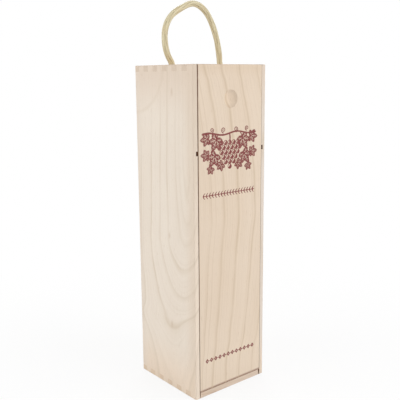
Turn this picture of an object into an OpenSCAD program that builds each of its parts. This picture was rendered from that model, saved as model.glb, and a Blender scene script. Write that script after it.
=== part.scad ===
// Upright wooden box for one bottle: glued finger joints, a front lid that slides out upwards, a neck rest
// inside and a rope handle through the top board.
// Millimetres. Origin in the middle of the underside, +Z up, the lid faces -Y.

/* [Box] */
// Outer width, across the lid
box_w = 99; // [94:1:130]
// Outer depth, front to back
box_d = 99; // [97:1:130]
// Height of the box without its rope
box_h = 350; // [330:5:420]
// Thickness of the two side boards
side_t = 7; // [6.5:0.5:9]
// Thickness of the top and bottom boards
end_t = 6.5; // [5:0.5:9]
// Thickness of the back panel
back_t = 6; // [4:0.5:8]
// Radius to which the outer edges are sanded
edge_r = 1.4; // [0.6:0.1:2]

/* [Joints] */
// Width of one finger and of one gap between fingers
finger_w = 8.2; // [7:0.1:8.6]
// Wood left outside the back panel's rebate in each side
rebate_wall = 3.5; // [3:0.5:5]
// Wood left outside the slot for the neck rest
slot_wall = 3.4; // [2.4:0.2:4]
// Wood left outside the groove for the lid
groove_wall = 3; // [2.6:0.2:4]

/* [Lid] */
// Width of the lip beside the lid, seen from the front
lip_w = 5.4; // [4.8:0.2:6]
// Thickness of the lip in front of the groove
lip_t = 3; // [2.5:0.25:4]
// Thickness of the lid's tongues
tongue_t = 3; // [2:0.25:4]
// Room at each side of the lid
lid_play = 0.45; // [0.3:0.05:0.8]
// How far the lid stands to the right in that room
lid_shift = 0.2; // [0:0.05:0.25]
// Room before and behind the tongues
face_play = 0.15; // [0.1:0.05:0.3]
// Radius of the lid's lower front edge
lid_foot_r = 1; // [0.5:0.1:2]
// Width of the round finger dish
dish_d = 18.5; // [14:0.5:26]
// Depth of the finger dish
dish_depth = 4; // [2:0.25:4.5]
// Middle of the finger dish below the top
dish_drop = 34.3; // [26:0.1:60]

/* [Bottle] */
// How far the bottom board's front edge lies behind the lid's face
sill_recess = 0.3; // [0.1:0.1:2]
// Room between the ends of that front edge and the lips
sill_play = 1.3; // [0.4:0.1:2]
// Thickness of the neck rest
rest_t = 4.5; // [4:0.5:8]
// Middle of the neck rest below the top
rest_drop = 87; // [70:1:120]
// Room at each end of the neck rest and in front of it
rest_play = 0.3; // [0.1:0.1:0.5]
// Width of the notch for the bottle's neck
notch_w = 34; // [28:1:40]

/* [Rope] */
// Diameter of the rope
rope_d = 6.5; // [5:0.5:7]
// Distance of the rope holes from the back
rope_back = 45; // [43:1:48]
// Room round the rope in its holes, and between its knots and the board
rope_play = 0.4; // [0.2:0.1:0.8]
// Width of a knot
knot_d = 18; // [15:0.5:18.5]
// Height of a knot
knot_h = 20; // [14:0.5:24]
// Room between a knot and the side board
knot_room = 0.5; // [0.3:0.1:8]
// Length of rope left under a knot
tail_l = 9; // [5:1:20]

/* [Hidden] */
$fn = 64;
eps = 1;

front = -box_d / 2;
back = box_d / 2;
inner_w = box_w - 2 * side_t;
inner_back = back - back_t;
inner_top = box_h - end_t;

// The lid's tongues run in a channel behind the lips; the lid's face is flush with them.
channel_back = front + lip_t + tongue_t + 2 * face_play;
tongue_front = front + lip_t + face_play;
lid_back = tongue_front + tongue_t;

// Fingers and gaps are counted from the back; the wood behind the lid's channel stays whole.
front_wood = 2;
finger_count = floor(((back - channel_back - front_wood) / finger_w + 1) / 2);

rest_z = box_h - rest_drop - rest_t / 2;
// The bottle stands midway between the lid and the back panel.
bottle_y = (lid_back + inner_back) / 2;

// The rope's arch turns about the line through the middles of its two round ends, just over the holes.
rope_r = rope_d / 2;
rope_x = inner_w / 2 - knot_room - knot_d / 2;
rope_y = back - rope_back;
swing_gap = 0.35;
swing_z = box_h + swing_gap + rope_r;
// Centreline of the arch from the left hole to the right one, [x, height above the line it turns about], for
// holes 33 mm from the middle.
arch_hole_x = 33;
arch_points = [[-34.6, 0], [-37.2, 4], [-39.2, 8], [-40.8, 13], [-41.7, 18], [-42.1, 24], [-41.6, 30],
               [-39.8, 36], [-36.5, 42], [-32.2, 46.6], [-26.8, 50.4], [-21.5, 53.3], [-16, 56],
               [-10.8, 58.2], [-5.4, 59.3], [0, 58.9], [5.4, 57], [10.6, 53.6], [15.2, 49.2],
               [19.2, 43.6], [22.6, 37.4], [25.6, 30.6], [28, 23.6], [29.8, 16.4], [31.1, 9.6],
               [31.8, 4], [32.1, 0]];
rope_sides = 10;
rings_per_step = 2;
cap_rings = 3;

side_wood = "#E6D6C5";
lid_wood = "#E4D2BE";
end_wood = "#DCC9B2";
rope_gold = "#CDBB8C";

// ---- sanded edges ----

// Section of what sanding takes off an edge: the corner is at the origin, the wood in the positive quarter.
module edge_section(r) {
    difference() {
        translate([-eps, -eps]) square(r + eps);
        translate([r, r]) circle(r);
    }
}

// The same along +X, with the wood towards +Y and +Z.
module edge_waste_x(l, r = edge_r) {
    translate([-eps, 0, 0]) rotate([90, 0, 90]) linear_extrude(l + 2 * eps) edge_section(r);
}

// The same along +Y, with the wood towards +X and +Z.
module edge_waste_y(l, r = edge_r) {
    translate([0, l + eps, 0]) rotate([90, 0, 0]) linear_extrude(l + 2 * eps) edge_section(r);
}

// The same along +Z, with the wood towards +X and +Y.
module edge_waste_z(l, r = edge_r) {
    translate([0, 0, -eps]) linear_extrude(l + 2 * eps) edge_section(r);
}

// Turns its children upside down about half the height of the box.
module upside_down(turned) {
    translate([0, 0, box_h / 2]) mirror([0, 0, turned]) translate([0, 0, -box_h / 2]) children();
}

// What sanding takes off the box's twelve outer edges.
module box_waste() {
    for (a = [0, 1], b = [0, 1]) {
        mirror([a, 0, 0]) mirror([0, b, 0]) translate([-box_w / 2, front, 0]) edge_waste_z(box_h);
        mirror([a, 0, 0]) upside_down(b) translate([-box_w / 2, front, 0]) edge_waste_y(box_d);
        mirror([0, a, 0]) upside_down(b) translate([-box_w / 2, front, 0]) edge_waste_x(box_w);
    }
}

// ---- side boards ----

// The fingers of an end board that lie in the left side board, with their feet at height z. Made taller, and
// longer by over at both ends, they cut the sockets that they lie in.
module left_fingers(z, tall = end_t, over = 0) {
    for (k = [0 : finger_count - 1])
        translate([-box_w / 2 - over, back - finger_w * (2 * k + 1), z])
            cube([side_t + 2 * over, finger_w, tall]);
}

// Channel for the lid: the lip is narrower than the board is thick, and the groove behind it is wider.
module lid_channel() {
    translate([-box_w / 2 + lip_w, front - eps, -eps])
        cube([side_t - lip_w + eps, lip_t + 2 * eps, box_h + 2 * eps]);
    translate([-box_w / 2 + groove_wall, front + lip_t, -eps])
        cube([side_t - groove_wall + eps, channel_back - front - lip_t, box_h + 2 * eps]);
}

// Rebate for the back panel, stopped at the end boards.
module back_rebate() {
    translate([-box_w / 2 + rebate_wall, inner_back, end_t])
        cube([side_t - rebate_wall + eps, back_t + eps, inner_top - end_t]);
}

// Slot for the neck rest, cut through from the front edge, so that its end shows in the lip.
module rest_slot() {
    translate([-box_w / 2 + slot_wall, front - eps, rest_z])
        cube([side_t - slot_wall + eps, inner_back - front + eps, rest_t]);
}

module side_board() {
    difference() {
        translate([-box_w / 2, front, 0]) cube([side_t, box_d, box_h]);
        lid_channel();
        back_rebate();
        rest_slot();
        left_fingers(-eps, end_t + eps, eps);
        left_fingers(inner_top, end_t + eps, eps);
        box_waste();
    }
}

module left_side() {
    color(side_wood) side_board();
}

module right_side() {
    color(side_wood) mirror([1, 0, 0]) side_board();
}

// ---- boards between the sides ----

module back_panel() {
    color(side_wood)
        translate([-box_w / 2 + rebate_wall, inner_back, end_t])
            cube([box_w - 2 * rebate_wall, back_t, inner_top - end_t]);
}

// An end board with its foot at height z, behind the lid's channel.
module end_board(z) {
    translate([-inner_w / 2, channel_back, z]) cube([inner_w, back - channel_back, end_t]);
    left_fingers(z);
    mirror([1, 0, 0]) left_fingers(z);
}

module top_board() {
    color(end_wood)
        difference() {
            end_board(inner_top);
            for (side = [-1, 1])
                translate([side * rope_x, rope_y, inner_top - eps])
                    cylinder(h = end_t + 2 * eps, r = rope_r + rope_play);
            box_waste();
        }
}

// The bottom board reaches forward under the lid, and its front edge nearly fills the gap between the lips.
module bottom_board() {
    sill = box_w / 2 - lip_w - sill_play;
    neck = min(sill, inner_w / 2);
    color(end_wood)
        difference() {
            union() {
                end_board(0);
                translate([-sill, front + sill_recess, 0])
                    cube([2 * sill, channel_back - front - sill_recess - sill_play, end_t]);
                translate([-neck, front + sill_recess, 0])
                    cube([2 * neck, channel_back - front - sill_recess + eps, end_t]);
            }
            box_waste();
        }
}

// Thin cross board that slides into the two slots, with a notch in which the bottle's neck lies.
module neck_rest() {
    half = box_w / 2 - slot_wall - rest_play;
    color(side_wood)
        translate([0, 0, rest_z])
            linear_extrude(rest_t)
                difference() {
                    translate([-half, channel_back + rest_play])
                        square([2 * half, inner_back - channel_back - rest_play]);
                    translate([0, bottle_y]) circle(d = notch_w);
                    translate([-notch_w / 2, front]) square([notch_w, bottle_y - front]);
                }
}

// ---- lid ----

// The lid stands on the bottom board. Its face fills the gap between the lips, and its tongues run behind
// them.
module lid() {
    half_face = box_w / 2 - lip_w - lid_play;
    half_tongue = box_w / 2 - groove_wall - lid_play;
    dish_r = (pow(dish_d / 2, 2) + pow(dish_depth, 2)) / (2 * dish_depth);
    color(lid_wood)
        difference() {
            translate([lid_shift, 0, end_t]) {
                translate([-half_face, front, 0]) cube([2 * half_face, tongue_front - front, inner_top]);
                translate([-half_tongue, tongue_front, 0]) cube([2 * half_tongue, tongue_t, inner_top]);
            }
            translate([0, front + dish_depth - dish_r, box_h - dish_drop]) sphere(dish_r);
            translate([-box_w / 2, front, end_t]) edge_waste_x(box_w, lid_foot_r);
            upside_down(1) translate([-box_w / 2, front, 0]) edge_waste_x(box_w);
        }
}

// ---- rope ----

// The rope in its hole, the round knot that holds it under the board, and its tail.
module rope_end(x) {
    knot_z = inner_top - rope_play - knot_h;
    knot_edge = knot_d / 2 - rope_r;
    color(rope_gold)
        translate([x, rope_y, knot_z]) {
            translate([0, 0, -tail_l]) cylinder(h = box_h - knot_z + tail_l, r = rope_r);
            rotate_extrude() {
                square([knot_edge, knot_h]);
                translate([0, rope_r]) square([knot_d / 2, knot_h - 2 * rope_r]);
                for (z = [rope_r, knot_h - rope_r]) translate([knot_edge, z]) circle(rope_r);
            }
        }
}

module rope_end_left() {
    rope_end(-rope_x);
}

module rope_end_right() {
    rope_end(rope_x);
}

// A point between b and c on a smooth curve through a, b, c and d, at share t.
function between(a, b, c, d, t) =
    b + (c - a) * t / 2 + (2 * a - 5 * b + 4 * c - d) * t * t / 2 + (3 * b - a - 3 * c + d) * t * t * t / 2;

// The smooth line through a list of points.
function smooth(p, n) =
    let (last = len(p) - 1)
    [for (i = [0 : last - 1], k = [0 : n - 1])
        between(p[max(i - 1, 0)], p[i], p[i + 1], p[min(i + 2, last)], k / n), p[last]];

function unit(v) = v / norm(v);

function tangent(line, i) = unit(line[min(i + 1, len(line) - 1)] - line[max(i - 1, 0)]);

// One ring of the rope: its middle and its direction in the plane of the arch, and its radius.
function ring(m, dir, r) =
    [for (s = [0 : rope_sides - 1])
        let (a = 360 * s / rope_sides, out = r * cos(a))
        [m.x + out * dir.y, rope_y + r * sin(a), swing_z + m.y - out * dir.x]];

// The rings of a round end, from its pole inwards or from the rope outwards.
function cap(m, dir, angles, way) =
    [for (a = angles) ring(m + way * dir * rope_r * sin(a), dir, rope_r * cos(a))];

// The arch from hole to hole, with round ends that clear the board when it swings.
module rope_handle() {
    line = smooth([for (p = arch_points) [p.x * rope_x / arch_hole_x, p.y]], rings_per_step);
    last = len(line) - 1;
    step = 90 / cap_rings;
    start = tangent(line, 0);
    end = tangent(line, last);
    rings = concat(
        cap(line[0], start, [for (k = [cap_rings - 1 : -1 : 1]) k * step], -1),
        [for (i = [0 : last]) ring(line[i], tangent(line, i), rope_r)],
        cap(line[last], end, [for (k = [1 : cap_rings - 1]) k * step], 1));
    n = rope_sides;
    rows = len(rings);
    pole_a = line[0] - start * rope_r;
    pole_b = line[last] + end * rope_r;
    points = concat([for (r = rings) each r],
        [[pole_a.x, rope_y, swing_z + pole_a.y], [pole_b.x, rope_y, swing_z + pole_b.y]]);
    faces = concat(
        [for (i = [0 : rows - 2], s = [0 : n - 1])
            each [[i * n + s, (i + 1) * n + s, i * n + (s + 1) % n],
                  [i * n + (s + 1) % n, (i + 1) * n + s, (i + 1) * n + (s + 1) % n]]],
        [for (s = [0 : n - 1]) [rows * n, s, (s + 1) % n]],
        [for (s = [0 : n - 1]) [rows * n + 1, (rows - 1) * n + (s + 1) % n, (rows - 1) * n + s]]);
    color(rope_gold) polyhedron(points, faces);
}

left_side();
right_side();
back_panel();
top_board();
bottom_board();
neck_rest();
lid();
rope_end_left();
rope_end_right();
rope_handle();
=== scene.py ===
"""The looks of an upright box for one bottle: bare sanded boards with finger joints, a lid with a small
printed ornament that slides up between the sides, and a braided rope handle. Metres, in the frame of the
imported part."""
from math import atan2, ceil, cos, degrees, floor, hypot, pi, radians, sin

import bmesh
import bpy
from mathutils import Matrix, Vector, geometry


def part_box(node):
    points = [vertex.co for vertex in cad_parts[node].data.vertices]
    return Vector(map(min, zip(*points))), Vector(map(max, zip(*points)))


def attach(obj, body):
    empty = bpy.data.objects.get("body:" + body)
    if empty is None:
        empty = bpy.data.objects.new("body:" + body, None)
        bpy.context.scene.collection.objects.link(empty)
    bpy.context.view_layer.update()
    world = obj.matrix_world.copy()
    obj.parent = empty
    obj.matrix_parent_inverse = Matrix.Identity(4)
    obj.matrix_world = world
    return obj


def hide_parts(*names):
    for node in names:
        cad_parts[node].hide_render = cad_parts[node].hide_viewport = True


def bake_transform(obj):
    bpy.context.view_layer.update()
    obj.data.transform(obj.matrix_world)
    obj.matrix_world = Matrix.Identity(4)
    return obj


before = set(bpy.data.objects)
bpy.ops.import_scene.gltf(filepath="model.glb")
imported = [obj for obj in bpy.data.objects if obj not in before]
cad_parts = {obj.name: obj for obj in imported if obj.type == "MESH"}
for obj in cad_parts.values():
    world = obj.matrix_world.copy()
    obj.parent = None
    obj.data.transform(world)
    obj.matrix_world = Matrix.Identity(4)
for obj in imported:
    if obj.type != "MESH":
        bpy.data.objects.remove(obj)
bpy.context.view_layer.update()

# ---- camera ----
# A product photograph's view: from half a metre in front of the box and to its left, with the eye just under
# the height of the top board, so that the lid and the left side show alike and the boards taper downwards.
eye = (-0.43587, -0.53147, 0.33826)
heading = radians(39.286)  # from straight ahead towards +X
dip = radians(11.079)
roll = radians(-0.505)

camera_data = bpy.data.cameras.new("camera")
camera_data.sensor_width = 36
camera_data.lens = 56.87
camera = bpy.data.objects.new("camera", camera_data)
camera.matrix_world = (Matrix.Translation(eye) @ Matrix.Rotation(-heading, 4, "Z")
                       @ Matrix.Rotation(pi / 2 - dip, 4, "X") @ Matrix.Rotation(roll, 4, "Z"))
bpy.context.scene.collection.objects.link(camera)
bpy.context.scene.camera = camera

# ---- rope handle ----
# One braided cord, 6.5 mm thick, of satin polyester yarn: eight strands wind each way round a soft core, two
# over and two under. It comes up through the left hole of the top board, stands in an arch by its own
# stiffness and goes down the right hole. The arch is built in one fixed piece, at rest.
mm = 0.001
rope_d = 6.5 * mm
rope_x = 33 * mm  # the holes, left and right of the middle
rope_y = 4.5 * mm
swing_z = 353.6 * mm  # the height of the line that the arch turns about
# Centreline of the arch in mm: (x, height above the line that it turns about)
arch_points = [(-33, -6.9), (-33.2, -4), (-34.6, 0), (-37.2, 4), (-39.2, 8), (-40.8, 13), (-41.7, 18),
               (-42.1, 24), (-41.6, 30), (-39.8, 36), (-36.5, 42), (-32.2, 46.6), (-26.8, 50.4),
               (-21.5, 53.3), (-16, 56), (-10.8, 58.2), (-5.4, 59.3), (0, 58.9), (5.4, 57), (10.6, 53.6),
               (15.2, 49.2), (19.2, 43.6), (22.6, 37.4), (25.6, 30.6), (28, 23.6), (29.8, 16.4), (31.1, 9.6),
               (31.8, 4), (32.1, 0), (32.9, -4), (33, -6.9)]
ring_step = 0.4 * mm  # along the rope, fine enough for the strands to look round
around = 64  # faces round the rope
strands = 8  # each way
lead = 24 * mm  # how far along a strand moves on by its own width
relief = 0.5 * mm  # from the top of a strand to the bottom of the gap beside it
crown = 0.55  # shares of the relief: the height of a strand's middle where it dips under two others,
lift = 0.225  # and half of what it gains where it passes over two
fall = 3.2  # how steeply a strand rounds off from its middle to its sides
strand_w = pi * rope_d / strands
shade_step = 0.37  # from one strand's own shade, 0 to 1, to its neighbour's
tip = 1.5 * mm  # the melted end of a cut rope
tip_closing = 0.97  # how nearly the melted end closes: 1 would bring it to a point
weld_gap = 0.001 * mm  # corners nearer to each other than this are one


def add(tree, kind, settings=None, sockets=None):
    """A new node with its own settings, and its sockets set to values or linked to other nodes' outputs."""
    node = tree.nodes.new("ShaderNode" + kind)
    for name, value in (settings or {}).items():
        setattr(node, name, value)
    for name, value in (sockets or {}).items():
        if isinstance(value, bpy.types.Node):
            value = next(out for out in value.outputs if out.enabled)
        if isinstance(value, bpy.types.NodeSocket):
            tree.links.new(value, node.inputs[name])
        else:
            node.inputs[name].default_value = value
    return node


def linear(hex_colour):
    """An sRGB hex colour as Blender's linear values."""
    channels = [int(hex_colour[k:k + 2], 16) / 255 for k in (1, 3, 5)]
    return [c / 12.92 if c <= 0.04045 else ((c + 0.055) / 1.055) ** 2.4 for c in channels] + [1.0]


def smooth_line(points, step):
    """A smooth line through the points, cut into pieces about one step long."""
    line = []
    for k in range(len(points) - 1):
        a, b = points[k], points[k + 1]
        before, after = points[max(k - 1, 0)], points[min(k + 2, len(points) - 1)]
        pieces = max(2, ceil((b - a).length / step))
        bit = geometry.interpolate_bezier(a, a + (b - before) / 6, b - (after - a) / 6, b, pieces + 1)
        line += bit[:-1]
    return line + [points[-1]]


def strand_at(turns, along):
    """What shows at a place on the braid: how high it stands, 0 to 1, its place across the strand that lies
    on top, -0.5 to 0.5, and that strand's number."""
    a = strands * turns - along / lead
    b = strands * turns + along / lead
    tops = []
    for across, other, sign in ((a, b, 1), (b, a, -1)):
        number = floor(across)
        place = across - number - 0.5
        rise = sign * sin(pi / 2 * (number + other))
        tops.append((crown * (1 - fall * place ** 2) + lift * (1 + rise), place, number * sign))
    return max(tops)


def braided(name, line, end_tip=False):
    """A length of the braided cord along a line, with closed ends. End_tip rounds the last one, as melting
    does. The yarn attribute holds mm across the strand on top, its height, and the strand's own shade."""
    rings = len(line)
    runs = [0.0]
    for k in range(1, rings):
        runs.append(runs[-1] + (line[k] - line[k - 1]).length)
    side = Vector((0.1, 1, 0.05))  # nowhere along the rope
    frames = []
    for k in range(rings):
        ahead = (line[min(k + 1, rings - 1)] - line[max(k - 1, 0)]).normalized()
        side = (side - ahead * side.dot(ahead)).normalized()
        frames.append((side.copy(), ahead.cross(side)))
    bm = bmesh.new()
    bmesh.ops.create_grid(bm, x_segments=around, y_segments=rings - 1, size=1)
    yarn = bm.verts.layers.float_vector.new("yarn")
    for vertex in bm.verts:
        turns = (vertex.co.x + 1) / 2
        k = round((vertex.co.y + 1) / 2 * (rings - 1))
        height, place, number = strand_at(turns, runs[k])
        radius = rope_d / 2 - relief * (1 - min(height, 1))
        left = runs[-1] - runs[k]
        if end_tip and left < tip:
            radius *= (1 - (1 - left / tip) ** 2 * tip_closing) ** 0.5
        out = frames[k][0] * cos(2 * pi * turns) + frames[k][1] * sin(2 * pi * turns)
        vertex.co = line[k] + out * radius
        vertex[yarn] = (place * strand_w / mm, height, number * shade_step % 1)
    bmesh.ops.remove_doubles(bm, verts=bm.verts, dist=weld_gap)
    bmesh.ops.holes_fill(bm, edges=[e for e in bm.edges if e.is_boundary], sides=0)
    bmesh.ops.recalc_face_normals(bm, faces=bm.faces)
    for face in bm.faces:
        face.smooth = True
    mesh = bpy.data.meshes.new(name)
    bm.to_mesh(mesh)
    bm.free()
    piece = bpy.data.objects.new(name, mesh)
    bpy.context.scene.collection.objects.link(piece)
    return piece


# Polyester filament yarn, spun flat and shiny: pale gold on the strands, darker olive down in the gaps
# between them, which is painted shade, and fine lines of filaments along each strand.
satin = bpy.data.materials.new("braided_satin_yarn")
satin.use_nodes = True
tree = satin.node_tree
shader = tree.nodes["Principled BSDF"]
yarn = add(tree, "Attribute", {"attribute_name": "yarn"})
yarn_parts = add(tree, "SeparateXYZ", {}, {0: yarn.outputs["Vector"]})
# Painted shade: the colour runs from pale gold on the strand tops to dark olive down in the gaps
groove_shade = add(tree, "ValToRGB", {}, {"Fac": yarn_parts.outputs["Y"]})
groove_shade.color_ramp.elements[0].position = 0.3
groove_shade.color_ramp.elements[0].color = linear("#80765A")
groove_shade.color_ramp.elements[1].position = 0.97
groove_shade.color_ramp.elements[1].color = linear("#E2D7B4")
groove_shade.color_ramp.elements.new(0.66).color = linear("#CCBF9A")
place = add(tree, "TexCoord")
filament_gap = 0.18  # mm, as coarse as it needs to be to show
filaments = add(tree, "CombineXYZ", {}, {"X": yarn_parts.outputs["X"], "Y": yarn_parts.outputs["Z"]})
fibre = add(tree, "TexNoise", {}, {"Vector": filaments, "Scale": 1 / filament_gap, "Detail": 1.0})
patches = add(tree, "TexNoise", {}, {"Vector": place.outputs["Object"], "Scale": 60.0, "Detail": 1.0})
shade = add(tree, "MapRange", {}, {
    "Value": fibre, "From Min": 0.3, "From Max": 0.7, "To Min": 0.9, "To Max": 1.07})
strand_shade = add(tree, "MapRange", {}, {"Value": yarn_parts.outputs["Z"], "To Min": 0.95, "To Max": 1.03})
shade = add(tree, "Math", {"operation": "MULTIPLY"}, {0: shade, 1: strand_shade})
shaded = add(tree, "VectorMath", {"operation": "SCALE"}, {0: groove_shade.outputs["Color"], "Scale": shade})
warm = add(tree, "MapRange", {}, {"Value": patches, "From Min": 0.45, "From Max": 0.7, "To Max": 0.3})
gold = add(tree, "Mix", {"data_type": "RGBA"}, {0: warm, 6: shaded, 7: linear("#CFAF7A")})
bump = add(tree, "Bump", {}, {"Height": fibre, "Distance": 0.05 * mm, "Strength": 0.4})
tree.links.new(gold.outputs[2], shader.inputs["Base Color"])
tree.links.new(bump.outputs[0], shader.inputs["Normal"])
shader.inputs["Roughness"].default_value = 0.48
shader.inputs["Sheen Weight"].default_value = 0.15

arch = smooth_line([Vector((x * mm, rope_y, swing_z + z * mm)) for x, z in arch_points], ring_step)
rope = braided("rope", arch)
rope.data.materials.append(satin)

# ---- knots ----
# Under the top board each end of the rope is tied in an overhand knot, pulled tight against the board, with a
# short tail whose cut end was melted.
knot_z = 333 * mm  # the middle of a knot
# Centreline of the left knot in mm from its middle, from the hole down to the tail
knot_points = [(0, 0, 13.6), (0, -0.4, 11), (0.6, -0.9, 7.6), (1.5, -1.5, 3.4), (4, -3.4, 0.5),
               (7, -2.2, -2.6), (7.4, 1.2, -5.6), (5.1, 4.6, -7), (1.2, 6.2, -6.6), (-2.7, 5.2, -4.6),
               (-4.3, 2.3, -1.8), (-4.2, -1.2, 0.9), (-3.4, -4.5, 3.7), (-0.2, -6.1, 6.2), (4.1, -5.3, 7),
               (7.1, -2.2, 6.2), (7.3, 1.4, 3.7), (5.1, 3.3, 0.4), (2, 1.8, -2.3), (0.8, 0.2, -6.2),
               (0.6, 0, -10.4), (1, 0.4, -14), (1.8, 0.8, -18.4)]
for name, side in (("knot_left", -1), ("knot_right", 1)):
    line = smooth_line([Vector((side * rope_x - side * x * mm, rope_y + y * mm, knot_z + z * mm))
                        for x, y, z in knot_points], ring_step)
    knot = braided(name, line, end_tip=True)
    knot.data.materials.append(satin)
    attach(knot, "box")
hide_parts("rope_end_left")
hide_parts("rope_end_right")

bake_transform(rope)
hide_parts("rope_handle")

# ---- studio ----
# A white table in a white room. A broad soft lamp lights the left side and another, from the right, lights
# the lid about as brightly. A third stands behind, and the table keeps a faint shadow.
scene = bpy.context.scene
scene.view_settings.view_transform = "Standard"

world = bpy.data.worlds.new("white_room")
scene.world = world
world.use_nodes = True
tree = world.node_tree
rays = add(tree, "LightPath")
seen = add(tree, "Math", {"operation": "MAXIMUM"},
           {0: rays.outputs["Is Camera Ray"], 1: rays.outputs["Is Glossy Ray"]})
seen = add(tree, "Math", {"operation": "MAXIMUM"}, {0: seen, 1: rays.outputs["Is Transmission Ray"]})
room_light = 0.5  # of the white that the camera sees
strength = add(tree, "MapRange", {}, {"Value": seen, "To Min": room_light, "To Max": 1.0})
tree.nodes["Background"].inputs["Color"].default_value = (1, 1, 1, 1)
tree.links.new(strength.outputs[0], tree.nodes["Background"].inputs["Strength"])

table_half = 6.0
bm = bmesh.new()
bmesh.ops.create_grid(bm, x_segments=1, y_segments=1, size=table_half)
mesh = bpy.data.meshes.new("table")
bm.to_mesh(mesh)
bm.free()
table = bpy.data.objects.new("table", mesh)
scene.collection.objects.link(table)
# Matt white paint: it has no gloss, and the camera sees it almost as white as the room
white_board = bpy.data.materials.new("white_painted_board")
white_board.use_nodes = True
tree = white_board.node_tree
shader = tree.nodes["Principled BSDF"]
shader.inputs["Base Color"].default_value = (0.9, 0.9, 0.9, 1)
shader.inputs["Roughness"].default_value = 0.9
shader.inputs["Specular IOR Level"].default_value = 0.0
rays = add(tree, "LightPath")
shadow_kept = 0.16  # how much of the table's own light and shadow the camera sees beside the box
place = add(tree, "TexCoord")
distance = add(tree, "VectorMath", {"operation": "LENGTH"}, {0: place.outputs["Object"]}).outputs["Value"]
white = add(tree, "MapRange", {"interpolation_type": "SMOOTHSTEP"}, {
    "Value": distance, "From Min": 0.1, "From Max": 0.5, "To Min": 1 - shadow_kept, "To Max": 1.0})
glow = add(tree, "Emission", {}, {"Color": (1, 1, 1, 1), "Strength": 1.0})
share = add(tree, "Math", {"operation": "MULTIPLY"}, {0: rays.outputs["Is Camera Ray"], 1: white})
mixed = add(tree, "MixShader", {}, {0: share, 1: shader, 2: glow})
tree.links.new(mixed.outputs[0], tree.nodes["Material Output"].inputs["Surface"])
mesh.materials.append(white_board)

lamp_size = 1.4
lit_middle = Vector((0, 0, 0.18))  # where the lamps point, halfway up the box
for name, place, watts in (("left_lamp", (-1.75, 0.45, 1.1), 16.5), ("front_lamp", (0.85, -1.65, 1.2), 19.5),
                           ("back_lamp", (1.2, 1.4, 1.1), 16)):
    lamp_data = bpy.data.lights.new(name, "AREA")
    lamp_data.size = lamp_size
    lamp_data.energy = watts
    lamp = bpy.data.objects.new(name, lamp_data)
    lamp.location = place
    lamp.rotation_euler = (lit_middle - Vector(place)).to_track_quat("-Z", "Y").to_euler()
    scene.collection.objects.link(lamp)

# ---- timber ----
# Every board is planed and sanded pine with no finish: pale and dull, the dark late wood of each ring a soft
# line with one sharp side. A ring is a tube round the heart of the log, so its lines run on round a board's
# edges and show as arcs on its ends. Fine fibres and short resin pores run along the face.
half_w = 49.5  # mm, half the box's width and depth
box_h = 350.0  # mm
crossways = (1, 0, 0)  # the ways that a colour strip is measured in: across a board and along it
endways = (0, 0, 1)


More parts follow.
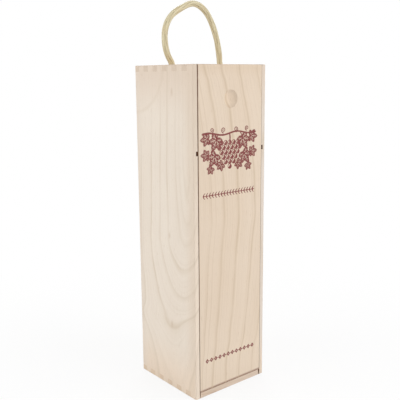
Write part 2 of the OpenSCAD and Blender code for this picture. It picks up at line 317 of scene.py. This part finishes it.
def timber(name, across, depth, corner, length, heart, spine, drift, taper, rings, soft, light, tan, late,
           seed, faint=0.2, shade_and_tone_strips=(), flecks=(), branch=None, ends_light="#D8C6B3", ends_late="#BFA285"):
    """Pine for one board. Across and depth are directions from its corner, in mm, over its face and into it,
    and the grain runs square to both. The log's heart lies heart mm across plus what drift says, and as far
    in front of the face as spine says, and taper draws the lines together, each by the share of the length.
    Rings gives each ring's radius and strength, soft how far a line fades inwards and outwards. The strips,
    (way, start, end, amount, colour), set a colour in from start to end; one whose way leans a little widens
    towards one end. They make a board lighter, darker or browner near some edges and ends, and some of them
    are painted shade in gaps and along the lid's foot, and painted highlights on rounded edges. Flecks are
    small dark spots, (across, along, size), and branch is (place, radius of the ring that bends round it,
    strength). The ends of the grain have colours of their own."""
    material = bpy.data.materials.new(name)
    material.use_nodes = True
    tree = material.node_tree
    shader = tree.nodes["Principled BSDF"]
    grain = Vector(across).cross(Vector(depth))
    place = add(tree, "TexCoord")
    board = add(tree, "Mapping", {}, {
        "Vector": place.outputs["Object"], "Location": corner, "Scale": (1 / mm, 1 / mm, 1 / mm),
        "Rotation": Matrix((across, depth, grain)).to_euler()})

    # Slow bends of the fibres, about 40 mm wide and 110 mm long, that move a line by up to 2 mm
    slow = add(tree, "Mapping", {}, {
        "Vector": board, "Location": (seed, seed, 0), "Scale": (0.025, 0.025, 0.009)})
    sway = add(tree, "TexNoise", {}, {"Vector": slow, "Scale": 1.0, "Detail": 2.0})
    sway = add(tree, "VectorMath", {"operation": "SUBTRACT"}, {0: sway.outputs["Color"], 1: (0.5, 0.5, 0.5)})
    bent = add(tree, "VectorMath", {"operation": "MULTIPLY_ADD"}, {0: sway, 1: (7, 7, 0), 2: board})
    parts = add(tree, "SeparateXYZ", {}, {0: bent})

    # Distance from the heart
    share = add(tree, "Math", {"operation": "DIVIDE"}, {0: parts.outputs["Z"], 1: length})
    lines = []
    for points in (spine, drift, taper):
        line = add(tree, "FloatCurve", {}, {"Value": share})
        curve = line.mapping.curves[0]
        curve.points[0].location = points[0]
        curve.points[1].location = points[-1]
        for point in points[1:-1]:
            curve.points.new(*point)
        line.mapping.update()
        lines.append(line)
    reach = 100.0  # mm for a curve's whole height
    deep = add(tree, "Math", {"operation": "MULTIPLY_ADD"}, {0: lines[0], 1: reach, 2: parts.outputs["Y"]})
    shift = add(tree, "Math", {"operation": "MULTIPLY_ADD"}, {0: lines[1], 1: reach, 2: heart})
    aside = add(tree, "Math", {"operation": "SUBTRACT"}, {0: parts.outputs["X"], 1: shift})
    narrow = add(tree, "Math", {"operation": "ADD"}, {0: lines[2], 1: 1.0})
    aside = add(tree, "Math", {"operation": "MULTIPLY"}, {0: aside, 1: narrow})
    spoke = add(tree, "CombineXYZ", {}, {"X": aside, "Y": deep})
    radius = add(tree, "VectorMath", {"operation": "LENGTH"}, {0: spoke}).outputs["Value"]

    # Late wood: a line for each ring, sharp on one side and soft on the other, and fainter ones between
    inner = rings[0][0] - 2 * soft[0]
    outer = rings[-1][0] + 2 * soft[1]
    scaled = add(tree, "MapRange", {}, {"Value": radius, "From Min": inner, "From Max": outer})
    ramp = add(tree, "ValToRGB", {}, {"Fac": scaled})
    ramp.color_ramp.elements[1].color = (0, 0, 0, 1)
    slope = -soft[0] if soft[0] > soft[1] else soft[1]
    for ring, strength in rings:
        for at, value in ((ring - soft[0], 0), (ring, strength), (ring + 0.35 * slope, 0.3 * strength),
                          (ring + soft[1], 0)):
            element = ramp.color_ramp.elements.new((at - inner) / (outer - inner))
            element.color = (value, value, value, 1)
    between = add(tree, "TexNoise", {"noise_dimensions": "1D"}, {"W": radius, "Scale": 0.45, "Detail": 3.0})
    between = add(tree, "MapRange", {}, {
        "Value": between, "From Min": 0.42, "From Max": 0.75, "To Max": faint})
    rest = add(tree, "Mapping", {}, {"Vector": board, "Location": (0, seed, 5), "Scale": (0.03, 0.03, 0.02)})
    broken = add(tree, "TexNoise", {}, {"Vector": rest, "Scale": 1.0, "Detail": 2.0})
    broken = add(tree, "MapRange", {}, {"Value": broken, "From Min": 0.3, "From Max": 0.65, "To Min": 0.45})
    lines = add(tree, "Math", {"operation": "ADD"}, {0: ramp.outputs["Color"], 1: between})
    lines = add(tree, "Math", {"operation": "MULTIPLY"}, {0: lines, 1: broken})
    if branch:
        # The rings fade near the branch, and one of its own bends round it
        centre, bend, bend_strength = branch
        near = add(tree, "VectorMath", {"operation": "SUBTRACT"}, {0: bent, 1: centre})
        near = add(tree, "VectorMath", {"operation": "MULTIPLY"}, {0: near, 1: (2, 0, 1)})
        near = add(tree, "VectorMath", {"operation": "LENGTH"}, {0: near}).outputs["Value"]
        kept = add(tree, "MapRange", {"interpolation_type": "SMOOTHSTEP"},
                   {"Value": near, "From Min": 1.6 * bend, "From Max": 2.3 * bend, "To Min": 0.15})
        lines = add(tree, "Math", {"operation": "MULTIPLY"}, {0: lines, 1: kept})
        away = add(tree, "VectorMath", {"operation": "DISTANCE"}, {0: bent, 1: centre}).outputs["Value"]
        arc = add(tree, "Math", {"operation": "SUBTRACT"}, {0: away, 1: bend})
        arc = add(tree, "Math", {"operation": "ABSOLUTE"}, {0: arc})
        arc = add(tree, "MapRange", {"interpolation_type": "SMOOTHSTEP"},
                  {"Value": arc, "From Min": 0.0, "From Max": 3.5, "To Min": bend_strength, "To Max": 0.0})
        arc = add(tree, "Math", {"operation": "MULTIPLY"}, {0: arc, 1: broken})
        lines = add(tree, "Math", {"operation": "MAXIMUM"}, {0: lines, 1: arc})

    # Fibres half a millimetre apart and many times as long, and pores of a tenth of a millimetre drawn at
    # twice that, so that they show
    fibre_gap = 0.5
    fine = add(tree, "Mapping", {}, {
        "Vector": bent, "Location": (seed, 0, 0), "Scale": (1 / fibre_gap, 1 / fibre_gap, 0.05)})
    fibre = add(tree, "TexNoise", {}, {"Vector": fine, "Scale": 1.0, "Detail": 4.0, "Roughness": 0.6})
    dashes = add(tree, "Mapping", {}, {"Vector": bent, "Location": (0, 0, seed), "Scale": (2.6, 2.6, 0.16)})
    pores = add(tree, "TexNoise", {}, {"Vector": dashes, "Scale": 1.0, "Detail": 1.0})
    pores = add(tree, "MapRange", {}, {"Value": pores, "From Min": 0.66, "From Max": 0.76, "To Max": 0.35})

    # Colour: pale wood, browner in slow patches, and edge strips, some of them painted shade and highlights
    cloud = add(tree, "Mapping", {}, {
        "Vector": board, "Location": (7, seed, 3), "Scale": (0.02, 0.02, 0.007)})
    cloud = add(tree, "TexNoise", {}, {"Vector": cloud, "Scale": 1.0, "Detail": 3.0})
    brown = add(tree, "MapRange", {}, {"Value": cloud, "From Min": 0.35, "From Max": 0.75, "To Max": 0.45})
    colour = add(tree, "Mix", {"data_type": "RGBA"}, {0: brown, 6: linear(light), 7: linear(tan)})
    for way, start, end, amount, strip_colour in shade_and_tone_strips:
        edge = add(tree, "VectorMath", {"operation": "DOT_PRODUCT"}, {0: board, 1: way}).outputs["Value"]
        edge = add(tree, "MapRange", {"interpolation_type": "SMOOTHSTEP"},
                   {"Value": edge, "From Min": min(start, end), "From Max": max(start, end),
                    "To Min": 0 if end > start else amount, "To Max": amount if end > start else 0})
        colour = add(tree, "Mix", {"data_type": "RGBA"}, {0: edge, 6: colour, 7: linear(strip_colour)})
    colour = add(tree, "Mix", {"data_type": "RGBA"}, {0: lines, 6: colour, 7: linear(late)})
    for fleck_across, fleck_along, size in flecks:
        spot = add(tree, "VectorMath", {"operation": "SUBTRACT"},
                   {0: bent, 1: (fleck_across, 0, fleck_along)})
        spot = add(tree, "VectorMath", {"operation": "MULTIPLY"}, {0: spot, 1: (1.2, 0, 0.5)})
        spot = add(tree, "VectorMath", {"operation": "LENGTH"}, {0: spot}).outputs["Value"]
        spot = add(tree, "MapRange", {"interpolation_type": "SMOOTHSTEP"},
                   {"Value": spot, "From Min": 0.0, "From Max": size, "To Min": 0.32, "To Max": 0.0})
        colour = add(tree, "Mix", {"data_type": "RGBA"}, {0: spot, 6: colour, 7: linear("#BFA384")})
    streak = add(tree, "MapRange", {}, {
        "Value": fibre, "From Min": 0.3, "From Max": 0.7, "To Min": 0.975, "To Max": 1.022})
    colour = add(tree, "VectorMath", {"operation": "SCALE"}, {0: colour, "Scale": streak})
    colour = add(tree, "Mix", {"data_type": "RGBA"}, {0: pores, 6: colour, 7: linear("#B89A78")})

    # End grain: cut across the fibres, darker, speckled, and with the rings stronger
    ends = add(tree, "VectorMath", {"operation": "DOT_PRODUCT"}, {0: place.outputs["Normal"], 1: grain})
    ends = add(tree, "Math", {"operation": "ABSOLUTE"}, {0: ends.outputs["Value"]})
    ends = add(tree, "MapRange", {}, {"Value": ends, "From Min": 0.35, "From Max": 0.95})
    cut = add(tree, "Mix", {"data_type": "RGBA"}, {0: lines, 6: linear(ends_light), 7: linear(ends_late)})
    speckle = add(tree, "TexNoise", {}, {"Vector": board, "Scale": 2.5, "Detail": 2.0})
    speckle = add(tree, "MapRange", {}, {
        "Value": speckle, "From Min": 0.35, "From Max": 0.65, "To Min": 0.93, "To Max": 1.05})
    cut = add(tree, "VectorMath", {"operation": "SCALE"}, {0: cut, "Scale": speckle})
    colour = add(tree, "Mix", {"data_type": "RGBA"}, {0: ends, 6: colour, 7: cut})

    # Painted shade, browner, where ambient occlusion finds grooves, slots, joints and gaps; none along the
    # foot
    open_air = add(tree, "AmbientOcclusion", {"samples": 8}, {"Distance": 5 * mm})
    painted_crevice_shade = add(tree, "MapRange", {}, {
        "Value": open_air.outputs["AO"], "From Min": 0.35, "From Max": 0.75, "To Min": 0.95, "To Max": 0.0})
    height = add(tree, "SeparateXYZ", {}, {0: place.outputs["Object"]}).outputs["Z"]
    above_foot = add(tree, "MapRange", {}, {"Value": height, "From Min": 1.5 * mm, "From Max": 4 * mm})
    painted_crevice_shade = add(tree, "Math", {"operation": "MULTIPLY"}, {0: painted_crevice_shade, 1: above_foot})
    colour = add(tree, "Mix", {"data_type": "RGBA"}, {0: painted_crevice_shade, 6: colour, 7: linear("#946A4E")})

    bump = add(tree, "Bump", {}, {"Height": fibre, "Distance": 0.06 * mm, "Strength": 0.35})
    tree.links.new(colour.outputs[2], shader.inputs["Base Color"])
    tree.links.new(bump.outputs[0], shader.inputs["Normal"])
    shader.inputs["Roughness"].default_value = 0.62
    shader.inputs["Specular IOR Level"].default_value = 0.3
    return material


def finish_board(node, material):
    """Gives a board its wood and breaks its sharp edges, as sandpaper does."""
    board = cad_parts[node]
    board.data.materials.clear()
    board.data.materials.append(material)
    weld = board.modifiers.new("weld", "WELD")
    weld.merge_threshold = weld_gap
    broken_edge = board.modifiers.new("broken_edges", "BEVEL")
    broken_edge.width = 0.22 * mm
    broken_edge.segments = 2
    broken_edge.limit_method = "ANGLE"
    broken_edge.angle_limit = radians(50)


# ---- left side ----
# An upright board, 7 mm thick, cut near the heart: its rings show as nested pointed loops, tips down, whose
# arms run straight out to the top. A branch beside its upper back corner bends one ring into an arc.
left_wood = timber(
    "left_side_pine", across=(0, -1, 0), depth=(1, 0, 0), corner=(half_w, half_w, 0), length=box_h, heart=0,
    spine=[(0, 0.765), (0.05, 0.75), (0.086, 0.73), (0.137, 0.697), (0.17, 0.667), (0.206, 0.625),
           (0.243, 0.595), (0.269, 0.55), (0.3, 0.49), (0.337, 0.425), (0.371, 0.375), (0.403, 0.33),
           (0.457, 0.23), (0.48, 0.185), (0.543, 0.12), (0.629, 0.05), (0.75, 0), (1, 0)],
    drift=[(0, 0.58), (0.137, 0.585), (0.206, 0.55), (0.22, 0.57), (0.243, 0.63), (0.269, 0.69), (0.3, 0.74),
           (0.33, 0.775), (0.403, 0.8), (0.457, 0.825), (0.543, 0.865), (0.629, 0.88), (0.714, 0.88),
           (1, 0.88)],
    taper=[(0, 0), (0.65, 0), (0.94, 0.1), (1, 0.1)],
    rings=[(5, 0.35), (12, 0.35), (18.5, 0.45), (33, 0.65), (46, 0.5), (62, 0.8), (81, 0.5)],
    soft=(1.3, 3.2),
    light="#EADFD1", tan="#E2D3C3", late="#D2C1AB", seed=3.0, faint=0.22,
    # Strips: darker towards the front edge and the top, warmer towards the foot, greyer along the back edge
    shade_and_tone_strips=[(crossways, 80, 98, 0.8, "#E0CFBC"), (endways, 290, 345, 0.8, "#DFCDBB"),
          (endways, 60, 8, 0.7, "#EAD6C1"), (crossways, 12, 2, 0.6, "#E0D3C5"),
          # The last strip is a painted highlight on the rounded front edge and the lip, widening downwards
          ((1, 0, -0.004), 97.6, 98.8, 1.0, "#F0E0CE")],
    flecks=[(58, 74, 3.5), (65, 323, 3.5), (57, 173, 3)], branch=((0, 0, 352), 51, 0.4))
finish_board("left_side", left_wood)

# ---- right side ----
# The left side's twin from another log: straighter, with a few long lines. Its front edge is the lip that
# shows beside the lid, with a dark gap between the two.
right_wood = timber(
    "right_side_pine", across=(0, 1, 0), depth=(-1, 0, 0), corner=(half_w, half_w, 0), length=box_h, heart=38,
    spine=[(0, 0.52), (0.3, 0.4), (0.6, 0.22), (0.8, 0.1), (1, 0.04)],
    drift=[(0, 0.1), (0.4, 0.04), (0.7, 0.1), (1, 0.16)], taper=[(0, 0), (0.5, 0.05), (1, 0.2)],
    rings=[(12, 0.4), (21, 0.7), (32, 0.6), (44, 0.8), (57, 0.7), (71, 0.5)], soft=(1.4, 4),
    light="#EADFD1", tan="#E2D3C3", late="#D2C1AB", seed=11.0,
    # Strips: browner towards the front edge, greyer on the lip and the back edge, darker at the top, warmer
    # at the foot
    shade_and_tone_strips=[(crossways, 20, 1, 0.8, "#E0CFBC"), (crossways, 3, 2, 0.8, "#E3D8CD"),
          (endways, 290, 345, 0.8, "#DFCDBB"), (endways, 60, 8, 0.7, "#EAD6C1"),
          # The last strip is painted shade on the lip's inner face, in the gap beside the lid, fading out
          # upwards
          (crossways, 95, 97, 0.8, "#E4DACE"), ((-1, 1, -0.0013), 4.7, 5.2, 0.8, "#8B7666")],
    flecks=[(30, 210, 3), (66, 120, 3.5)])
finish_board("right_side", right_wood)

# ---- back panel ----
# A quieter board, 6 mm thick, glued in a rebate of the sides between the end boards. Its rings run up it in
# a few wide lines.
back_wood = timber(
    "back_panel_pine", across=(-1, 0, 0), depth=(0, -1, 0), corner=(half_w, half_w, 0), length=box_h,
    heart=-90, spine=[(0, 0.3), (1, 0.3)], drift=[(0, 0.2), (0.3, 0.26), (0.6, 0.1), (1, 0.18)],
    taper=[(0, 0), (0.5, 0.02), (1, 0)],
    rings=[(84, 0.4), (99, 0.6), (116, 0.7), (130, 0.5), (149, 0.8), (168, 0.6)], soft=(4, 1.4),
    light="#E6D8C8", tan="#DAC5AC", late="#CBB193", seed=19.0)
finish_board("back_panel", back_wood)

# ---- end boards ----
# Top and bottom lie between the sides, with their grain across the box. Their fingers are glued into the
# sides' sockets, so the sides of the box show the ends of their grain.
end_t = 6.5  # mm, the thickness of both
for node, top, seed, ends_light, ends_late in (("top_board", box_h, 27.0, "#D8C6B3", "#BFA285"),
                                               ("bottom_board", end_t, 31.0, "#DFCAB3", "#C9A27A")):
    end_wood = timber(
        node + "_pine", across=(0, 1, 0), depth=(0, 0, -1), corner=(half_w, top, half_w), length=2 * half_w,
        heart=-30, spine=[(0, 0.25), (1, 0.3)], drift=[(0, 0.1), (0.5, 0.14), (1, 0.08)],
        taper=[(0, 0), (1, 0.05)], rings=[(40, 0.5), (56, 0.7), (72, 0.5), (88, 0.7), (105, 0.6)],
        soft=(3, 1.2), light="#E3D1C0", tan="#D5BCA4", late="#C6A589", seed=seed, ends_light=ends_light,
        ends_late=ends_late)
    finish_board(node, end_wood)

# ---- neck rest ----
# A thin board across the inside, with a round notch that the bottle's neck lies in. Its ends sit in slots of
# the two sides, which show beside the lid as small dark marks.
rest_top = 265.25  # mm
rest_wood = timber(
    "neck_rest_pine", across=(0, 1, 0), depth=(0, 0, -1), corner=(half_w, rest_top, half_w),
    length=2 * half_w, heart=-40,
    spine=[(0, 0.2), (1, 0.26)], drift=[(0, 0.1), (1, 0.16)], taper=[(0, 0), (1, 0.05)],
    rings=[(46, 0.6), (61, 0.5), (77, 0.7), (92, 0.5)], soft=(3, 1.2),
    light="#E4D4C2", tan="#D6C0A6", late="#C6A98A", seed=43.0)
finish_board("neck_rest", rest_wood)

# ---- lid ----
# A board 6 mm thick, quarter cut, so that its rings run up it in long swaying lines 18 to 24 mm apart. It
# slides up behind the lips of the sides, and a round dish near its top is for the fingertip.
heart_deep = 40  # mm in front of the face, as spine says below
heart_aside = 150  # mm from the first strong line, halfway up the lid
mid_taper = 1.13  # how much the taper below draws the lines together there
lid_lines = [(-18, 0.35), (0, 0.85), (21, 0.9), (44.5, 0.8), (67.5, 0.55)]  # mm from that line, strength
lid_wood = timber(
    "lid_pine", across=(1, 0, 0), depth=(0, 1, 0), corner=(half_w, half_w, 0), length=box_h, heart=-165,
    spine=[(0, 0.4), (1, 0.4)],
    drift=[(0, 0.63), (0.043, 0.63), (0.086, 0.628), (0.157, 0.585), (0.2, 0.562), (0.257, 0.547),
           (0.314, 0.55), (0.371, 0.553), (0.43, 0.545), (0.49, 0.545), (0.543, 0.553), (0.6, 0.562),
           (0.657, 0.575), (0.72, 0.53), (0.78, 0.45), (0.843, 0.396), (0.886, 0.38), (0.943, 0.345),
           (0.971, 0.28), (1, 0.19)],
    taper=[(0, 0.345), (0.043, 0.34), (0.086, 0.333), (0.157, 0.254), (0.2, 0.224), (0.257, 0.19),
           (0.314, 0.18), (0.371, 0.17), (0.43, 0.155), (0.49, 0.14), (0.543, 0.13), (0.6, 0.14),
           (0.657, 0.15), (0.72, 0.135), (0.78, 0.11), (0.843, 0.097), (0.886, 0.107), (0.943, 0.118),
           (0.971, 0.1), (1, 0.06)],
    rings=[(hypot(heart_deep, mid_taper * (heart_aside + u)), strength) for u, strength in lid_lines],
    soft=(5.1, 1.8),
    light="#E6D4C0", tan="#DDC7AE", late="#D0BA9F", seed=5.0, faint=0.35,
    # Strips: browner at the top and paler towards the foot
    shade_and_tone_strips=[(endways, 335, 350, 0.5, "#DDC7AE"), (endways, 90, 20, 0.6, "#EAD9C5"),
          # Then painted shadow along the foot, over the sill, and painted shade on the left edge in the gap,
          # widening upwards
          (endways, 9.8, 7.6, 0.75, "#8A6050"), ((1, 0, -0.0022), 6.4, 5.95, 0.95, "#6E4E3A")])
finish_board("lid", lid_wood)

# ---- print on the lid ----
# Screen-printed burgundy ink, a few hundredths of a millimetre thick, straight on the bare wood: a bunch of
# grapes among vine leaves near the top, a garland under it and a row of lozenges near the foot.
ink = bpy.data.materials.new("burgundy_screen_ink")
ink.use_nodes = True
tree = ink.node_tree
shader = tree.nodes["Principled BSDF"]
place = add(tree, "TexCoord")
# The ink sinks in between the fibres, so it is thinner in upright streaks 0.7 mm apart
streaks = add(tree, "Mapping", {}, {"Vector": place.outputs["Object"], "Scale": (1500, 1500, 120)})
thin = add(tree, "TexNoise", {}, {"Vector": streaks, "Scale": 1.0, "Detail": 2.0})
thin = add(tree, "MapRange", {}, {"Value": thin, "From Min": 0.45, "From Max": 0.75, "To Max": 0.55})
inked = add(tree, "Mix", {"data_type": "RGBA"}, {0: thin, 6: linear("#7B302F"), 7: linear("#B27D70")})
tree.links.new(inked.outputs[2], shader.inputs["Base Color"])
shader.inputs["Roughness"].default_value = 0.55

lid_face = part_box("lid")[0].y
ink_t = 0.03 * mm
ink_step = 1 / 12  # of its thickness, from one shape to the next, so that two that cross don't share a face


def printed(name, shapes):
    """Flat areas of ink on the lid's face as one piece. A shape is a list of closed outlines in mm, across
    from the middle of the box and up from its foot: the first is its edge and the others are holes in it."""
    bm = bmesh.new()
    for k, outlines in enumerate(shapes):
        drawing = bpy.data.curves.new(name, "CURVE")
        drawing.dimensions = "2D"
        drawing.fill_mode = "BOTH"
        drawing.extrude = ink_t * (1 + k * ink_step)
        for outline in outlines:
            spline = drawing.splines.new("POLY")
            spline.points.add(len(outline) - 1)
            spline.use_cyclic_u = True
            for point, (x, z) in zip(spline.points, outline):
                point.co = (x * mm, z * mm, 0, 1)
        holder = bpy.data.objects.new(name, drawing)
        scene.collection.objects.link(holder)
        flat = bpy.data.meshes.new_from_object(holder.evaluated_get(bpy.context.evaluated_depsgraph_get()))
        bpy.data.objects.remove(holder)
        bm.from_mesh(flat)
    upright = Matrix(((1, 0, 0, 0), (0, 0, -1, lid_face), (0, 1, 0, 0), (0, 0, 0, 1)))
    bmesh.ops.transform(bm, matrix=upright, verts=bm.verts)
    bmesh.ops.remove_doubles(bm, verts=bm.verts, dist=0.1 * weld_gap)
    mesh = bpy.data.meshes.new(name)
    bm.to_mesh(mesh)
    bm.free()
    mesh.materials.append(ink)
    piece = bpy.data.objects.new(name, mesh)
    scene.collection.objects.link(piece)
    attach(piece, "lid")


def polar(x, z, angle, distance):
    """The point that far from (x, z), at an angle in degrees from straight right."""
    return x + distance * cos(radians(angle)), z + distance * sin(radians(angle))


def stroke(points, start_w, end_w=None):
    """The outline of a line through the points, as wide as the two widths at its ends."""
    end_w = start_w if end_w is None else end_w
    sides = ([], [])
    for k, (x, z) in enumerate(points):
        x0, z0 = points[max(k - 1, 0)]
        x1, z1 = points[min(k + 1, len(points) - 1)]
        half = (start_w + (end_w - start_w) * k / (len(points) - 1)) / 2 / hypot(x1 - x0, z1 - z0)
        sides[0].append((x - (z1 - z0) * half, z + (x1 - x0) * half))
        sides[1].append((x + (z1 - z0) * half, z - (x1 - x0) * half))
    return sides[0] + sides[1][::-1]


def bowed(start, angle, length, bow, steps=6):
    """Points along a line from start that turns by bow degrees over its length."""
    points = [start]
    for k in range(steps):
        points.append(polar(*points[-1], angle + bow * (k / (steps - 1) - 0.5), length / steps))
    return points


def vine_leaf(x, z, size, turn):
    """A leaf with five toothed lobes, its stalk at (x, z) and its tip at angle turn, cut through by its
    veins. Half its rim is listed by angle from the tip and share of the size."""
    half = [(0, 1), (14, 0.82), (27, 0.64), (40, 0.76), (52, 0.88), (66, 0.72), (80, 0.52), (95, 0.6),
            (110, 0.66), (128, 0.52), (146, 0.4), (166, 0.26)]
    rim = [Vector((*polar(0, 0, side * a, size * r), 0))
           for side, part in ((1, half), (-1, half[:0:-1])) for a, r in part]
    rim = smooth_line(rim + rim[:1], 0.085 * size)[:-1]
    outline = [polar(x, z, turn + degrees(atan2(v.y, v.x)), v.length * (1.06 if k % 2 else 0.95))
               for k, v in enumerate(rim)]
    veins = []
    for lobe, length in ((0, 0.86), (52, 0.72), (-52, 0.72), (110, 0.5), (-110, 0.5)):
        angle = turn + lobe
        foot = polar(x, z, angle, 0.13 * size)
        veins.append(stroke([foot, polar(x, z, angle, length * size)], 0.085 * size, 0.03 * size))
        for share in (0.4, 0.68) if length > 0.6 else (0.62,):
            for side in (1, -1):
                joint = polar(x, z, angle, share * length * size)
                start = polar(*joint, angle + side * 48, 0.075 * size)
                end = polar(*joint, angle + side * 48, (0.32 - 0.19 * share) * size)
                veins.append(stroke([start, end], 0.06 * size, 0.02 * size))
    return [outline] + veins


def grape(x, z, size):
    """A round grape with a bare crescent on its upper left."""
    rim = [polar(x, z, a, size) for a in range(0, 360, 20)]
    crescent = [polar(x, z, a, 0.76 * size) for a in range(70, 230, 20)]
    crescent += [polar(x, z, a, 0.3 * size) for a in range(210, 80, -20)]
    return [rim, crescent]


def tendril(x, z, size, turn, hand):
    """A curl that winds in towards (x, z)."""
    return [stroke([polar(x, z, turn + hand * 24 * k, size * (1 - k / 27)) for k in range(24)], 0.9, 0.5)]


def lozenge(x, z, out, up):
    """A lozenge's outline, that far out from (x, z) to each side and that far up and down."""
    return [(x - out, z), (x, z + up), (x + out, z), (x, z - up)]


middle = -1.5  # mm, the bunch hangs a little left of the lid's middle
cane_z = 281  # the branch that the bunch and its leaves hang from
bunch_z = 271.5  # the middles of the top row of grapes
bunch = (5, 6, 5, 4, 3, 1)  # grapes in each row
grape_r = 2.7
grape_gap = 2.06  # radii from grape to grape, and from row to row
row_gap = 1.83
vine = []
for row, count in enumerate(bunch):
    for k in range(count):
        vine.append(grape(middle + (k - (count - 1) / 2) * grape_gap * grape_r,
                          bunch_z - row * row_gap * grape_r, grape_r))
cane = [(middle + 1.03 * u, cane_z + 1.4 * sin(u / 6)) for u in range(-36, 37, 2)]
vine.append([stroke(cane, 1.9, 1.4)])
vine.append([stroke([(middle, cane_z), (middle + 0.5, 276), (middle, 272)], 1.5)])
leaves = ((18, 275, 12.5, 62), (30, 276.5, 9.5, 5), (20, 258.5, 12, 55), (30.5, 260, 8.5, -5),
          (11, 249.5, 8, 35), (25, 246.5, 7, 50))  # out from the middle, height, size, turn
for side in (-1, 1):
    for out, up, size, turn in leaves:
        vine.append(vine_leaf(middle + side * out, up, size, -90 + side * (90 - turn)))
    stalk = [(middle + side * out, up) for out, up in ((15, cane_z), (17, 278), (18, 275))]
    vine.append([stroke(stalk, 1.0)])
    vine.append(tendril(middle + side * 8.5, 284.5, 3.0, -90, side))
    vine.append(tendril(middle + side * 24, 285, 2.6, -90, -side))
printed("vine_print", vine)

garland_z = 219
leaf_gap = 4
garland = [[stroke([(-38, garland_z), (34, garland_z)], 0.8)]]
for k in range(18):
    for side in (1, -1):
        leaf = bowed((-37 + leaf_gap * k, garland_z + 0.3 * side), 54 * side, 3.6, -45 * side)
        garland.append([stroke(leaf, 1.35, 0.4)])
printed("garland_print", garland)

lozenge_z = 40
lozenge_gap = 6
lozenge_count = 12
lozenges = []
for k in range(lozenge_count):
    x = -33.5 + lozenge_gap * k
    lozenges.append([lozenge(x, lozenge_z, 2.3, 2.7), lozenge(x, lozenge_z, 0.7, 0.8)])
    if k < lozenge_count - 1:
        lozenges.append([[polar(x + lozenge_gap / 2, lozenge_z, a, 0.55) for a in range(0, 360, 45)]])
printed("lozenge_print", lozenges)
